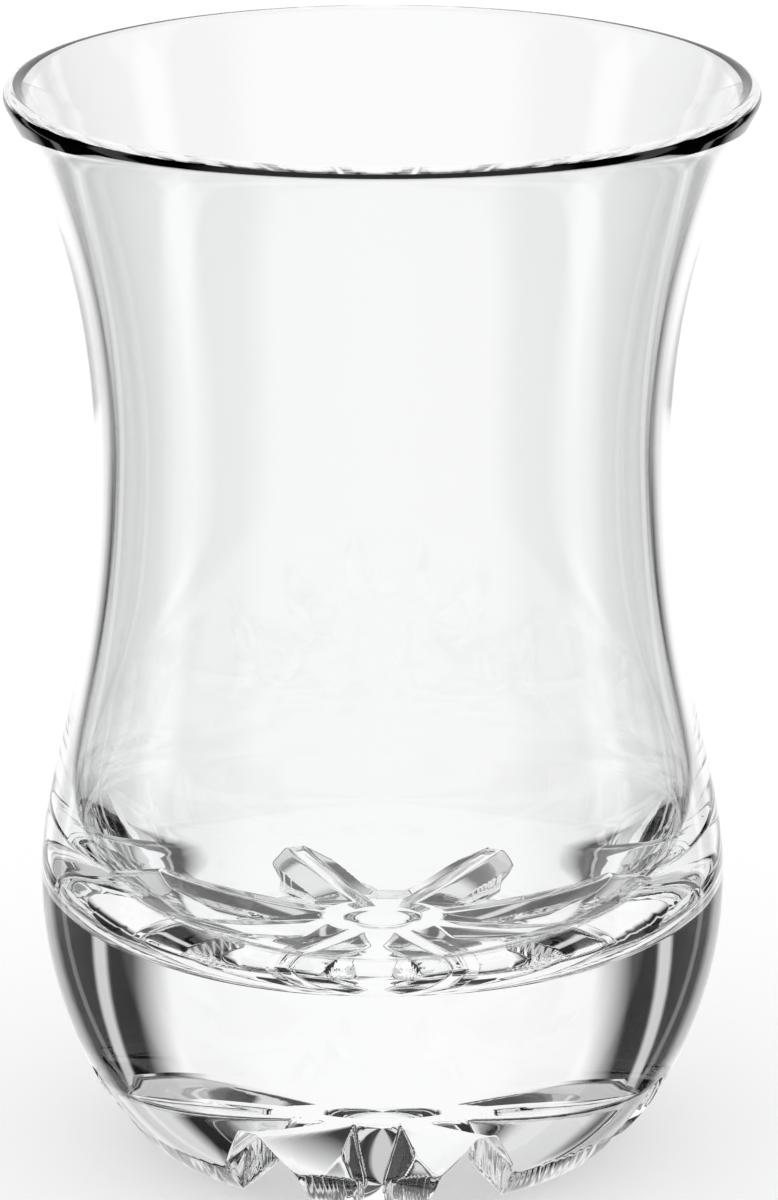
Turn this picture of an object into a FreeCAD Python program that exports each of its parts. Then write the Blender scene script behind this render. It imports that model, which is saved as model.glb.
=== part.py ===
import FreeCAD, Part
import math
import os

# A clear pressed-glass tea glass in the tulip shape: a flared lip, a narrow waist,
# a round belly, and a thick base whose underside is cut by eight grooves into
# eight feet.  Millimetres, +Z up, the origin on the table under the middle.

# ---- the outside, from the lip down ----
height = 88.7              # table to the top of the lip
lip_radius = 30.0          # to the outside of the lip
lip_thickness = 1.5        # the lip is a full round of this thickness
flare_angle = 28.6         # of the wall at the lip, from upright
lip_pull = 13.8            # how far the flare runs straight before it bends
waist_radius = 23.1
waist_height = 57.7
waist_pull_up = 4.6
waist_pull_down = 19.0
belly_radius = 27.95
belly_height = 22.3
belly_pull_up = 9.9
belly_pull_down = 10.5
sole_radius = 16.6         # the flat ring the feet stand on reaches out to here
sole_pull = 5.4

# ---- the inside ----
waist_wall = 1.65          # wall thickness at the waist
hollow_pull_down = 16.0
hollow_radius = 25.4       # widest part of the hollow
hollow_height = 28.2       # and its height
hollow_pull_up = 6.5
bowl_pull = 9.6
bowl_flat = 16.2           # how far the bottom of the hollow stays nearly flat
floor_height = 18.6        # table to the bottom of the hollow

# ---- the eight feet ----
foot_count = 8
foot_turn = -3.0           # the front foot stands this far round from straight ahead
groove_half_width = 0.8    # at the top of a groove
groove_height = 8.5        # table to the top of a groove
groove_draft = 30.0        # slope of a groove's side, from upright
groove_corner = 0.5        # rounding between a groove's side and its top
foot_rounding = 3.2        # rounding along the edge of a foot
foot_edge_angle = 24.0     # the rounding meets the sole at this angle
sole_inner_radius = 15.4   # the flat ring ends here and the foot rises towards the middle
foot_inner_pull = 2.2
hub_radius = 5.5           # the feet have risen to the grooves' top here
hub_pull_out = 3.4
hub_pull_down = 3.0

# ---- the button in the middle of the underside ----
button_radius = 3.3        # where it joins the top of the grooves
button_face_radius = 2.5
button_depth = 1.4


def at(r, z):
    """A point of the glass's half section."""
    return FreeCAD.Vector(r, 0, z)


def bezier(points):
    """A smooth curve with the given control points."""
    curve = Part.BezierCurve()
    curve.setPoles([at(r, z) for r, z in points])
    return curve.toShape()


def glass_body():
    """The glass without its grooves, turned from one half section; its underside is
    a flat ring that rises in a shallow cone to the small round hub in the middle."""
    flare = math.radians(flare_angle)
    away = (math.sin(flare), math.cos(flare))       # up along the wall at the lip
    half = lip_thickness / 2
    centre = (lip_radius - half, height - half)
    lip_out = (centre[0] + half * away[1], centre[1] - half * away[0])
    lip_in = (centre[0] - half * away[1], centre[1] + half * away[0])
    lip_top = (centre[0] + half * away[0], centre[1] + half * away[1])
    waist_inner = waist_radius - waist_wall

    def down_the_flare(start, pull):
        return (start[0] - pull * away[0], start[1] - pull * away[1])

    edges = [
        bezier([lip_out, down_the_flare(lip_out, lip_pull),
                (waist_radius, waist_height + waist_pull_up), (waist_radius, waist_height)]),
        bezier([(waist_radius, waist_height), (waist_radius, waist_height - waist_pull_down),
                (belly_radius, belly_height + belly_pull_up), (belly_radius, belly_height)]),
        bezier([(belly_radius, belly_height), (belly_radius, belly_height - belly_pull_down),
                (sole_radius + sole_pull, 0), (sole_radius, 0)]),
        Part.LineSegment(at(sole_radius, 0), at(sole_inner_radius, 0)).toShape(),
        bezier([(sole_inner_radius, 0), (sole_inner_radius - foot_inner_pull, 0),
                (hub_radius + hub_pull_out, groove_height - hub_pull_down),
                (hub_radius, groove_height)]),
        Part.LineSegment(at(hub_radius, groove_height), at(0, groove_height)).toShape(),
        Part.LineSegment(at(0, groove_height), at(0, floor_height)).toShape(),
        bezier([(0, floor_height), (bowl_flat, floor_height),
                (hollow_radius, hollow_height - bowl_pull), (hollow_radius, hollow_height)]),
        bezier([(hollow_radius, hollow_height), (hollow_radius, hollow_height + hollow_pull_up),
                (waist_inner, waist_height - hollow_pull_down), (waist_inner, waist_height)]),
        bezier([(waist_inner, waist_height), (waist_inner, waist_height + waist_pull_up),
                down_the_flare(lip_in, lip_pull), lip_in]),
        Part.Arc(at(*lip_in), at(*lip_top), at(*lip_out)).toShape(),
    ]
    section = Part.Face(Part.Wire(edges))
    return section.revolve(FreeCAD.Vector(0, 0, 0), FreeCAD.Vector(0, 0, 1), 360)


def groove_outline():
    """The points of one groove's cross-section, right-hand side: (sideways, up)."""
    draft = math.radians(groove_draft)
    edge = math.radians(foot_edge_angle)
    # the rounding of the foot is an arc that leaves the sole at foot_edge_angle
    # and runs into the sloping side of the groove
    arc_up = foot_rounding * (math.cos(edge) + math.sin(draft))
    side_low_x = groove_half_width + (groove_height - arc_up) * math.tan(draft)
    centre = (side_low_x + foot_rounding * math.cos(draft), foot_rounding * math.cos(edge))
    middle = (edge + math.pi / 2 - draft) / 2 + draft      # half way round the arc
    sole = (centre[0] - foot_rounding * math.sin(edge), 0.0)
    way = (centre[0] - foot_rounding * math.cos(middle - draft),
           centre[1] - foot_rounding * math.sin(middle - draft))
    side_low = (side_low_x, arc_up)
    side_high = (groove_half_width, groove_height)
    return sole, way, side_low, side_high


def groove_cutter():
    """One groove from the middle of the sole straight out past the belly, along +X."""
    sole, way, side_low, side_high = groove_outline()

    def spot(p, side):
        return FreeCAD.Vector(0, side * p[0], p[1])

    below = (sole[0], -5.0)
    edges = []
    for side in (1, -1):
        part = [
            Part.LineSegment(spot(below, side), spot(sole, side)).toShape(),
            Part.Arc(spot(sole, side), spot(way, side), spot(side_low, side)).toShape(),
            Part.LineSegment(spot(side_low, side), spot(side_high, side)).toShape(),
        ]
        edges += part
    edges.append(Part.LineSegment(spot(side_high, 1), spot(side_high, -1)).toShape())
    edges.append(Part.LineSegment(spot(below, 1), spot(below, -1)).toShape())
    face = Part.Face(Part.Wire(Part.__sortEdges__(edges)))
    cutter = face.extrude(FreeCAD.Vector(belly_radius + 5, 0, 0))
    corners = [e for e in cutter.Edges
               if abs(e.BoundBox.ZMin - groove_height) < 1e-6 and e.BoundBox.XLength > 5]
    return cutter.makeFillet(groove_corner, corners)


def button():
    """The small round button that hangs from the middle of the grooves' top."""
    top = groove_height + 0.5
    face = groove_height - button_depth
    slope = (button_radius - button_face_radius) / button_depth
    return Part.makeCone(button_face_radius, button_radius + 0.5 * slope, top - face,
                         FreeCAD.Vector(0, 0, face), FreeCAD.Vector(0, 0, 1))


def tea_glass():
    cutter = groove_cutter()
    step = 360.0 / foot_count
    cutters = []
    for k in range(foot_count):
        one = cutter.copy()
        one.rotate(FreeCAD.Vector(0, 0, 0), FreeCAD.Vector(0, 0, 1),
                   -90 + foot_turn + step / 2 + k * step)
        cutters.append(one)
    body = glass_body().cut(cutters[0].fuse(cutters[1:]))
    return body.fuse(button()).removeSplitter()


glass = tea_glass()
if glass.ShapeType != "Solid":
    glass = glass.Solids[0]
print("solids", len(glass.Solids), "valid", glass.isValid(), "glass cm3", round(glass.Volume / 1000, 2))
os.makedirs("parts", exist_ok=True)
glass.exportStep("parts/tea_glass.step")
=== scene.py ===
# %% [markdown]
# ## The tea glass and its frame
# A tulip tea glass is one piece of clear pressed glass: a flared lip, a narrow
# waist to hold it by, a round belly and a thick base.  The frame brings in the
# plain solid, which has the true sizes but coarse facets, and clear glass shows
# every facet.  So the glass is made again here as one fine, smooth surface.

# %% Start from the frame
import bpy
import math
import numpy as np
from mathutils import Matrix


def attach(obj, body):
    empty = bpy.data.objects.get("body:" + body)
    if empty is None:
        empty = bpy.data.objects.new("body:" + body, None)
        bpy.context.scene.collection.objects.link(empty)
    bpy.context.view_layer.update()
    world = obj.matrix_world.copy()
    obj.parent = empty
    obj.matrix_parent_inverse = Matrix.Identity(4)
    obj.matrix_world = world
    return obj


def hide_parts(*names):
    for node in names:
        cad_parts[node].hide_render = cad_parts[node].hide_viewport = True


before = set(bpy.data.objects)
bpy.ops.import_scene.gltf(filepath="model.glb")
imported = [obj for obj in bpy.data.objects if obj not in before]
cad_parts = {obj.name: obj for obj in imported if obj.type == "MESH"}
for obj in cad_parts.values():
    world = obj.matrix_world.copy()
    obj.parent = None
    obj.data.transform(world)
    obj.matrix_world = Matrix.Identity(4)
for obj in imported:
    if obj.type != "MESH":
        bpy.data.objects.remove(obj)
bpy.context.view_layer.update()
MM = 0.001

# %% [markdown]
# ## The half section
# A round glass is one line turned about its axis.  The line could be drawn with
# a curve object and the Screw modifier, but the grooves under this glass depend
# on both the distance from the axis and the way round, so the line is worked out
# as arrays.  Each stretch is a smooth curve with two handles.

# %% One smooth stretch of the line
def stretch(points, count):
    """Cubic curve: each of the four points (r, z) in millimetres is weighted by
    its Bernstein polynomial, for a parameter that runs evenly from 0 to 1."""
    s = np.linspace(0.0, 1.0, count)[:, None]
    p = np.array(points, float)
    return ((1 - s) ** 3 * p[0] + 3 * s * (1 - s) ** 2 * p[1]
            + 3 * s ** 2 * (1 - s) * p[2] + s ** 3 * p[3])


def even_rows(line, count):
    """The same line with its points spaced evenly along its length."""
    step = np.hypot(*np.diff(line, axis=0).T)
    along = np.concatenate([[0.0], np.cumsum(step)])
    at = np.linspace(0.0, along[-1], count)
    return np.stack([np.interp(at, along, line[:, 0]), np.interp(at, along, line[:, 1])], 1)


# %% The lip
# a pull is how far a curve's handle lies from its end, in millimetres
HEIGHT, LIP_RADIUS, LIP_THICKNESS = 88.7, 30.0, 1.5
FLARE, FLARE_PULL = math.radians(28.6), 13.8
FINE, FINEST = 900, 1500  # points along a stretch, before its rows are chosen
UP_THE_FLARE = np.array([math.sin(FLARE), math.cos(FLARE)])
ACROSS_THE_FLARE = np.array([math.cos(FLARE), -math.sin(FLARE)])
LIP_CENTRE = np.array([LIP_RADIUS, HEIGHT]) - LIP_THICKNESS / 2
LIP_OUT = LIP_CENTRE + ACROSS_THE_FLARE * LIP_THICKNESS / 2
LIP_IN = LIP_CENTRE - ACROSS_THE_FLARE * LIP_THICKNESS / 2


def lip_round(count):
    """Half a circle about the lip's centre, from its inner side over the top."""
    turn = np.linspace(math.pi - FLARE, -FLARE, count)[:, None]
    return LIP_CENTRE + LIP_THICKNESS / 2 * np.concatenate([np.cos(turn), np.sin(turn)], 1)


print("lip runs from", LIP_IN.round(2), "to", LIP_OUT.round(2), "mm")

# %% The outside, from the lip to the sole
WAIST_RADIUS, WAIST_HEIGHT, WAIST_PULL_UP, WAIST_PULL_DOWN = 23.1, 57.7, 4.6, 19.0
BELLY_RADIUS, BELLY_HEIGHT, BELLY_PULL_UP, BELLY_PULL_DOWN = 27.95, 22.3, 9.9, 10.5
SOLE_RADIUS, SOLE_PULL = 16.6, 5.4
outside_line = np.vstack([
    stretch([LIP_OUT, LIP_OUT - FLARE_PULL * UP_THE_FLARE,
             (WAIST_RADIUS, WAIST_HEIGHT + WAIST_PULL_UP), (WAIST_RADIUS, WAIST_HEIGHT)], FINE),
    stretch([(WAIST_RADIUS, WAIST_HEIGHT), (WAIST_RADIUS, WAIST_HEIGHT - WAIST_PULL_DOWN),
             (BELLY_RADIUS, BELLY_HEIGHT + BELLY_PULL_UP), (BELLY_RADIUS, BELLY_HEIGHT)], FINE)[1:],
    stretch([(BELLY_RADIUS, BELLY_HEIGHT), (BELLY_RADIUS, BELLY_HEIGHT - BELLY_PULL_DOWN),
             (SOLE_RADIUS + SOLE_PULL, 0.0), (SOLE_RADIUS, 0.0)], FINEST)[1:],
])
print("outside line has", len(outside_line), "points, widest", outside_line[:, 0].max())

# %% The inside, from the lip to the bottom of the hollow
WAIST_WALL, HOLLOW_RADIUS, HOLLOW_HEIGHT, FLOOR = 1.65, 25.4, 28.2, 18.6
WAIST_INNER = WAIST_RADIUS - WAIST_WALL
HOLLOW_PULL_DOWN, HOLLOW_PULL_UP = 16.0, 6.5
BOWL_PULL, BOWL_FLAT = 9.6, 16.2
inside_line = np.vstack([
    stretch([LIP_IN, LIP_IN - FLARE_PULL * UP_THE_FLARE,
             (WAIST_INNER, WAIST_HEIGHT + WAIST_PULL_UP), (WAIST_INNER, WAIST_HEIGHT)], FINE),
    stretch([(WAIST_INNER, WAIST_HEIGHT), (WAIST_INNER, WAIST_HEIGHT - HOLLOW_PULL_DOWN),
             (HOLLOW_RADIUS, HOLLOW_HEIGHT + HOLLOW_PULL_UP), (HOLLOW_RADIUS, HOLLOW_HEIGHT)], FINE)[1:],
    stretch([(HOLLOW_RADIUS, HOLLOW_HEIGHT), (HOLLOW_RADIUS, HOLLOW_HEIGHT - BOWL_PULL),
             (BOWL_FLAT, FLOOR), (0.0, FLOOR)], FINE)[1:],
])
room = math.pi * abs(np.trapz(inside_line[:, 0] ** 2, inside_line[:, 1])) / 1000
print("room inside", round(room, 1), "ml")

# %% [markdown]
# ## The eight feet
# The base is cut by eight grooves that run from a small hub out through the
# belly, and what is left between them is eight feet.  Cutting with a Boolean
# modifier leaves ragged triangles that clear glass would show.  Here the
# underside is a height over the table instead: at each place it is whichever is
# higher, the foot's own surface or the groove's.

# %% A groove's height at a distance from its middle line
FOOT_COUNT, FOOT_TURN = 8, math.radians(-3.0)
GROOVE_HEIGHT, GROOVE_HALF, GROOVE_CORNER = 8.5, 0.8, 0.5
DRAFT, FOOT_ROUND, FOOT_EDGE = math.radians(30.0), 3.2, math.radians(24.0)
SIDE_LOW_Z = FOOT_ROUND * (math.cos(FOOT_EDGE) + math.sin(DRAFT))
SIDE_LOW_X = GROOVE_HALF + (GROOVE_HEIGHT - SIDE_LOW_Z) * math.tan(DRAFT)
ROUND_X = SIDE_LOW_X + FOOT_ROUND * math.cos(DRAFT)
ROUND_Z = FOOT_ROUND * math.cos(FOOT_EDGE)
SOLE_X = ROUND_X - FOOT_ROUND * math.sin(FOOT_EDGE)
BELOW_TABLE = -1.0


def groove_height(away):
    """Flat top, a small corner arc, a straight sloping side and then the arc of
    the foot's edge down to the table; past that it is below the table, where
    there is no groove."""
    corner_z = GROOVE_HEIGHT - GROOVE_CORNER
    corner_x = (SIDE_LOW_X - (corner_z - SIDE_LOW_Z) * math.tan(DRAFT)
                - GROOVE_CORNER / math.cos(DRAFT))
    arc_in = corner_z + np.sqrt(np.clip(GROOVE_CORNER ** 2 - (away - corner_x) ** 2, 0, None))
    side = SIDE_LOW_Z + (SIDE_LOW_X - away) / math.tan(DRAFT)
    arc_out = ROUND_Z - np.sqrt(np.clip(FOOT_ROUND ** 2 - (away - ROUND_X) ** 2, 0, None))
    top = np.where(away < corner_x, GROOVE_HEIGHT, arc_in)
    high = np.where(away < corner_x + GROOVE_CORNER * math.cos(DRAFT), top, side)
    return np.where(away > SOLE_X, BELOW_TABLE, np.where(away < SIDE_LOW_X, high, arc_out))


print("groove is", 2 * GROOVE_HALF, "mm wide at its top,", round(2 * SOLE_X, 2), "at the sole")

# %% The foot's own surface and the hub
FOOT_INNER_RADIUS, FOOT_INNER_PULL = 15.4, 2.2
HUB_RADIUS, HUB_PULL_OUT, HUB_PULL_DOWN = 5.5, 3.4, 3.0
foot_line = stretch([(FOOT_INNER_RADIUS, 0.0), (FOOT_INNER_RADIUS - FOOT_INNER_PULL, 0.0),
                     (HUB_RADIUS + HUB_PULL_OUT, GROOVE_HEIGHT - HUB_PULL_DOWN),
                     (HUB_RADIUS, GROOVE_HEIGHT)], 400)[::-1]
BUTTON_RADIUS, BUTTON_FACE, BUTTON_DEPTH = 3.3, 2.5, 1.4


def from_groove(r, way):
    """Distance from the nearest groove's middle line: r times the sine of the
    angle between here and that groove."""
    share = 2 * math.pi / FOOT_COUNT
    off_foot = np.mod(way - FOOT_TURN + math.pi / 2 + share / 2, share) - share / 2
    return r * np.sin(share / 2 - np.abs(off_foot))


def underside(r, way):
    """The higher of the foot (flat ring, then a cone up to the hub) and the
    groove, with the round button let down from the hub."""
    foot = np.interp(r, foot_line[:, 0], foot_line[:, 1])
    high = np.maximum(foot, groove_height(from_groove(r, way)))
    drop = BUTTON_DEPTH * np.clip((BUTTON_RADIUS - r) / (BUTTON_RADIUS - BUTTON_FACE), 0, 1)
    return high - drop


# %% [markdown]
# ## Where the grooves break out of the belly
# If every column of the mesh had its rows at the same heights, the edge where a
# groove comes out through the belly would be a row of steps.  So each column
# first finds the place on the outside line where its groove begins, and its rows
# are spread above and below that place.  The edge is then a clean curve.

# %% Find the break-out for every column
COLUMNS = FOOT_COUNT * 72
way_round = np.linspace(0.0, 2 * math.pi, COLUMNS, endpoint=False)


def break_out(line, way):
    """Index along the line, as a fraction, where the groove first stands higher
    than the line on its way down; the line's end where it never does."""
    gap = line[:, 1:2] - groove_height(from_groove(line[:, 0:1], way[None, :]))
    gap[-1] = BELOW_TABLE  # a column with no groove ends at the end of the line
    first = np.argmax(gap < 0, axis=0)
    above = np.take_along_axis(gap, first[None] - 1, 0)[0]
    below = np.take_along_axis(gap, first[None], 0)[0]
    share = np.where(first == len(line) - 1, 1.0, above / (above - below))
    return first - 1 + share


edge_at = break_out(outside_line, way_round)
edge_z = np.interp(edge_at, np.arange(len(outside_line)), outside_line[:, 1])
print("grooves break out as high as", round(float(edge_z.max()), 2), "mm")

# %% [markdown]
# ## One closed surface
# The rows run from the middle of the hollow, up the inside, over the lip, down
# the outside and back to the middle of the underside.  The two middles are
# single points, so the surface has no hole.

# %% Work out every point
INSIDE_ROWS, LIP_ROWS, OUTSIDE_ROWS, SLIDE_ROWS, UNDER_ROWS = 46, 9, 34, 19, 53
SLIDE_FROM = 11.0  # height under which the rows slide to the break-out
BUTTON_ROWS = [2.9, BUTTON_FACE, 1.8, 0.9]


def glass_points():
    """Each column is its own half section: the same inside, lip and upper
    outside, then rows that slide to the break-out, then the underside."""
    index = np.arange(len(outside_line))
    split = int(np.argmax(outside_line[:, 1] < SLIDE_FROM))
    shared = np.vstack([even_rows(inside_line[::-1], INSIDE_ROWS)[1:], lip_round(LIP_ROWS)[1:-1],
                        even_rows(outside_line[:split], OUTSIDE_ROWS)])
    r = np.repeat(shared[:, 0:1], COLUMNS, 1)
    z = np.repeat(shared[:, 1:2], COLUMNS, 1)
    slide = np.linspace(0.0, 1.0, SLIDE_ROWS)[1:, None]
    at = split - 1 + slide * (edge_at[None] - split + 1)
    low_r = np.interp(at, index, outside_line[:, 0])
    low_z = np.interp(at, index, outside_line[:, 1])
    inward = np.linspace(0.0, 1.0, UNDER_ROWS)[1:, None]
    under_r = low_r[-1:] * (1 - inward) + BUTTON_RADIUS * inward
    button_r = np.repeat(np.array(BUTTON_ROWS)[:, None], COLUMNS, 1)
    under_r = np.vstack([under_r, button_r])
    under_z = underside(under_r, way_round[None])
    return np.vstack([r, low_r, under_r]), np.vstack([z, low_z, under_z])


radius, level = glass_points()
print("rows", len(radius), "columns", COLUMNS)

# %% Put the grid into a mesh
def closed_mesh(name, radius, level, floor_z, under_z):
    """Grid points are (r cos a, r sin a, z); each cell is a quad facing outwards,
    and a fan of triangles closes each end on a single middle point."""
    rows, columns = radius.shape
    x, y = radius * np.cos(way_round), radius * np.sin(way_round)
    grid = np.stack([x, y, level], -1).reshape(-1, 3)
    points = np.vstack([grid, [[0, 0, floor_z], [0, 0, under_z]]]) * MM
    i, j = np.arange(rows - 1)[:, None], np.arange(columns)[None, :]
    k = (j + 1) % columns
    quads = np.stack([i * columns + j, (i + 1) * columns + j,
                      (i + 1) * columns + k, i * columns + k], -1).reshape(-1, 4)
    ring, following = np.arange(columns), (np.arange(columns) + 1) % columns
    last = (rows - 1) * columns
    first_fan = np.stack([np.full(columns, rows * columns), ring, following], -1)
    last_fan = np.stack([np.full(columns, rows * columns + 1), last + following, last + ring], -1)
    corners = np.concatenate([quads.ravel(), first_fan.ravel(), last_fan.ravel()])
    sides = np.concatenate([np.full(len(quads), 4), np.full(2 * columns, 3)])
    mesh = bpy.data.meshes.new(name)
    mesh.vertices.add(len(points))
    mesh.vertices.foreach_set("co", points.ravel())
    mesh.loops.add(len(corners))
    mesh.loops.foreach_set("vertex_index", corners.astype(np.int32))
    mesh.polygons.add(len(sides))
    mesh.polygons.foreach_set("loop_start", (np.cumsum(sides) - sides).astype(np.int32))
    mesh.polygons.foreach_set("use_smooth", np.ones(len(sides), bool))
    mesh.update(calc_edges=True)
    mesh.validate()
    return mesh


glass_mesh = closed_mesh("tulip_glass", radius, level, FLOOR, float(level[-1].mean()))
glass = bpy.data.objects.new("tulip_glass", glass_mesh)
bpy.context.scene.collection.objects.link(glass)
print("triangles", sum(len(p.vertices) - 2 for p in glass_mesh.polygons))

# %% Check that it faces outwards
CM3 = 1e6  # cubic centimetres in a cubic metre
glass_mesh.calc_loop_triangles()
corner = np.zeros(len(glass_mesh.loop_triangles) * 3, np.int32)
glass_mesh.loop_triangles.foreach_get("vertices", corner)
spot = np.zeros(len(glass_mesh.vertices) * 3)
glass_mesh.vertices.foreach_get("co", spot)
a, b, c = (spot.reshape(-1, 3)[corner.reshape(-1, 3)[:, n]] for n in range(3))
volume = float(np.einsum("ij,ij->i", a, np.cross(b, c)).sum()) / 6 * CM3
print("glass volume", round(volume, 2), "cm3, positive when it faces outwards")

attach(glass, "root")
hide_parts("tea_glass")

# %% [markdown]
# ## Writing shader maths as Python
# A material is a net of nodes.  Wrapping a socket in a small class lets the maths
# between nodes be written as an ordinary expression, and each sign adds its node.

# %% A socket that can be added and multiplied
class Net:
    """A tree of nodes, and the one way in which a node is added to it."""

    def __init__(self, tree):
        self.tree = tree

    def node(self, kind, settings=None, stops=None, **sockets):
        """Any node: settings first, then a value or a link for each socket."""
        made = self.tree.nodes.new(kind)
        for name, value in (settings or {}).items():
            setattr(made, name, value)
        if stops:
            ramp = made.color_ramp.elements
            while len(ramp) < len(stops):
                ramp.new(0.5)
            for element, (place, grey) in zip(ramp, stops):
                element.position = place
                element.color = (grey, grey, grey, 1.0)
        for name, value in sockets.items():
            key = int(name[1:]) if name[1:].isdigit() else name.replace("_", " ")
            self.plug(made.inputs[key], value)
        return made

    def plug(self, socket, value):
        """Link a socket to another one, or give it a plain value."""
        if isinstance(value, Value):
            value = value.socket
        if isinstance(value, bpy.types.NodeSocket):
            self.tree.links.new(value, socket)
        else:
            socket.default_value = value

    def value(self, socket):
        return Value(self, socket)


class Value:
    """An output socket that can be used in an expression."""

    def __init__(self, net, socket):
        self.net, self.socket = net, socket

    def maths(self, operation, first, second=0.0):
        made = self.net.node("ShaderNodeMath", {"operation": operation}, i0=first, i1=second)
        return Value(self.net, made.outputs[0])

    def __add__(self, other): return self.maths("ADD", self, other)
    def __radd__(self, other): return self.maths("ADD", other, self)
    def __sub__(self, other): return self.maths("SUBTRACT", self, other)
    def __rsub__(self, other): return self.maths("SUBTRACT", other, self)
    def __mul__(self, other): return self.maths("MULTIPLY", self, other)
    def __rmul__(self, other): return self.maths("MULTIPLY", other, self)
    def __truediv__(self, other): return self.maths("DIVIDE", self, other)
    def __gt__(self, other): return self.maths("GREATER_THAN", self, other)
    def __lt__(self, other): return self.maths("LESS_THAN", self, other)


print("shader maths ready")

# %% [markdown]
# ## Clear pressed glass
# Soda-lime glass bends light by an index of about 1.52 and is almost colourless.
# Pressing leaves it very slightly wavy, and the melt has faint streaks in it.
# One Principled shader with full transmission does this, with a slow, shallow
# ripple on its normals and the least trace of blue in the streaks.

# %% The glass
GLASS_INDEX = 1.52
WHITE, STREAK = (1.0, 1.0, 1.0, 1.0), (0.990, 0.996, 1.0, 1.0)


def clear_glass():
    """Base colour runs between white and a near-white along stretched noise; the
    bump is a second, slower noise, some hundredths of a millimetre deep at most."""
    material = bpy.data.materials.new("clear_pressed_glass")
    material.use_nodes = True
    net = Net(material.node_tree)
    shader = material.node_tree.nodes["Principled BSDF"]
    place = net.node("ShaderNodeTexCoord").outputs["Object"]
    drawn = net.node("ShaderNodeMapping", Vector=place, Scale=(1.0, 1.0, 0.25)).outputs[0]
    streak = net.node("ShaderNodeTexNoise", Vector=drawn, Scale=55.0, Detail=2.0)
    tint = net.node("ShaderNodeMix", {"data_type": "RGBA"}, i0=streak.outputs[0],
                    i6=STREAK, i7=WHITE)
    wave = net.node("ShaderNodeTexNoise", Vector=place, Scale=38.0, Detail=1.0)
    bump = net.node("ShaderNodeBump", Strength=0.08, Distance=0.0004, Height=wave.outputs[0])
    net.plug(shader.inputs["Base Color"], tint.outputs[2])
    net.plug(shader.inputs["Normal"], bump.outputs[0])
    shader.inputs["Roughness"].default_value = 0.0
    shader.inputs["IOR"].default_value = GLASS_INDEX
    shader.inputs["Transmission Weight"].default_value = 1.0
    return material


glass_mesh.materials.append(clear_glass())
print("glass finish on", glass.name)

# %% [markdown]
# ## The studio
# Clear glass has no colour of its own, so it is drawn by what it bends and
# mirrors.  The usual way is a bright field: a white sheet straight behind and
# sweeping up and over, with black cards at the two sides, which turn into the
# dark lines along the edges and in the thick base.  Real cards could be built,
# but the world can hold the same picture: white or dark by compass direction,
# and plain white wherever nothing but air is in the way.
#
# No real room does this, and the cards suit one view only, the front.  Light that
# goes straight through the hollow is made mostly white from every side, so that
# the walls stay clear there too.  Light that goes steeply down is not, and that
# is a weakness: from the sides it leaves a dark pool in the bottom of the hollow.

# %% The world as a bright field with side cards
# share of half a turn from straight behind, and how bright it is there: the white
# sheet, a card with a slit in it, a side window, another card, the room in front;
# the slit is at 45 degrees and the window at 90, and the glass looks clearer from
# there than from between them
CARDS = [(0.0, 1.0), (0.155, 1.0), (0.20, 0.008), (0.234, 0.008), (0.242, 0.7), (0.258, 0.7),
         (0.266, 0.008), (0.45, 0.008), (0.47, 0.8), (0.53, 0.8), (0.55, 0.008),
         (0.66, 0.008), (0.74, 0.6), (1.0, 0.6)]
THROUGH = 0.8    # how far the white sheet shows straight through the hollow from any side
STEEP = -0.46    # sine of the slope below which light is left to the cards


def bright_field():
    """Brightness is a ramp over the compass direction; mostly white for light that
    crossed three or four faces, was never mirrored and isn't steep; and white for
    light that was mirrored more than five times."""
    world = bpy.data.worlds.new("bright_field")
    bpy.context.scene.world = world
    world.use_nodes = True
    net = Net(world.node_tree)
    sky = world.node_tree.nodes["Background"]
    to = net.node("ShaderNodeTexCoord").outputs["Generated"]
    part = net.node("ShaderNodeSeparateXYZ", Vector=to)
    side, back, up = (net.value(socket) for socket in part.outputs)
    turn = side.maths("ABSOLUTE", side.maths("ARCTAN2", side, back)) / math.pi
    card = net.value(net.node("ShaderNodeValToRGB", Fac=turn, stops=CARDS).outputs[0])
    path = net.node("ShaderNodeLightPath").outputs
    bent, mirrored = net.value(path["Transmission Depth"]), net.value(path["Glossy Depth"])
    straight = (bent > 2.5) * (bent < 4.5) * (mirrored < 0.5) * (up > STEEP) * THROUGH
    # light that has run round and round inside the wall comes from all sides
    plain = straight.maths("MAXIMUM", straight, mirrored > 5.5)
    plain = plain.maths("MAXIMUM", plain, net.value(path["Is Camera Ray"]))
    plain = plain.maths("MAXIMUM", plain, net.value(path["Is Diffuse Ray"]))
    level = plain + (1 - plain) * card
    net.plug(sky.inputs["Color"], WHITE)
    net.plug(sky.inputs["Strength"], level)


bright_field()
print("world is", bpy.context.scene.world.name)

# %% [markdown]
# ## The table
# The glass stands on a white table that melts into the background.  The table is
# a real surface, so that the glass leaves its soft shadow there, but the rays
# that the glass bends go on past it to the bright field.

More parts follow.
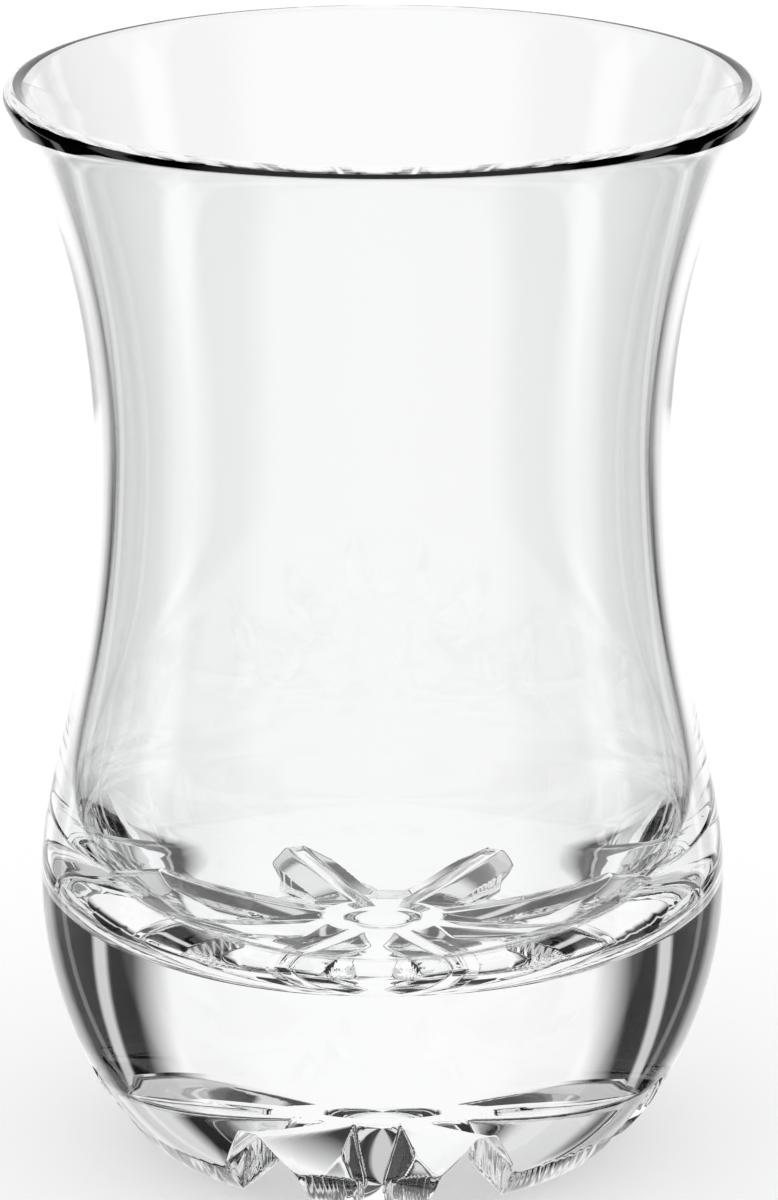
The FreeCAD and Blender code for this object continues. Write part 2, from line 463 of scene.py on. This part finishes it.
# %% A white table
TABLE_RADIUS, TABLE_SIDES = 6.0, 96


def table():
    """A flat disc at the height of the soles; its rim is (R cos a, R sin a, 0)."""
    turn = np.linspace(0.0, 2 * math.pi, TABLE_SIDES, endpoint=False)
    rim = np.stack([TABLE_RADIUS * np.cos(turn), TABLE_RADIUS * np.sin(turn),
                    np.zeros(TABLE_SIDES)], 1)
    mesh = bpy.data.meshes.new("table")
    mesh.from_pydata(rim.tolist(), [], [list(range(TABLE_SIDES))])
    top = bpy.data.objects.new("table", mesh)
    bpy.context.scene.collection.objects.link(top)
    material = bpy.data.materials.new("white_table")
    material.use_nodes = True
    net = Net(material.node_tree)
    paint = material.node_tree.nodes["Principled BSDF"]
    paint.inputs["Base Color"].default_value = (0.55, 0.55, 0.55, 1.0)
    paint.inputs["Roughness"].default_value = 1.0
    paint.inputs["Specular IOR Level"].default_value = 0.0
    paint.inputs["Emission Color"].default_value = WHITE
    paint.inputs["Emission Strength"].default_value = 0.5
    mesh.materials.append(material)
    top.visible_transmission = False
    top.visible_glossy = False
    return top


table()
print("table laid")

# %% [markdown]
# ## Camera and picture
# The camera looks down a little, from far enough away that the glass keeps its
# true outline.

# %% The camera
LENS, SENSOR, NEAREST = 197.25, 36.0, 0.01
CAMERA_PLACE = (0.0, -0.509, 0.2027)
LOOK_DOWN, TURN_RIGHT = 17.13, 0.06  # degrees
LIGHT_TURNS = 28
lens = bpy.data.cameras.new("camera")
lens.lens, lens.sensor_width, lens.clip_start = LENS, SENSOR, NEAREST
camera = bpy.data.objects.new("camera", lens)
camera.location = CAMERA_PLACE
camera.rotation_euler = (math.radians(90 - LOOK_DOWN), 0.0, math.radians(-TURN_RIGHT))
bpy.context.scene.collection.objects.link(camera)
bpy.context.scene.camera = camera
bpy.context.scene.view_settings.view_transform = "Standard"

# light needs many turns inside thick glass before it finds its way out
paths = bpy.context.scene.cycles
paths.max_bounces = paths.glossy_bounces = paths.transmission_bounces = LIGHT_TURNS
print("camera at", tuple(camera.location))
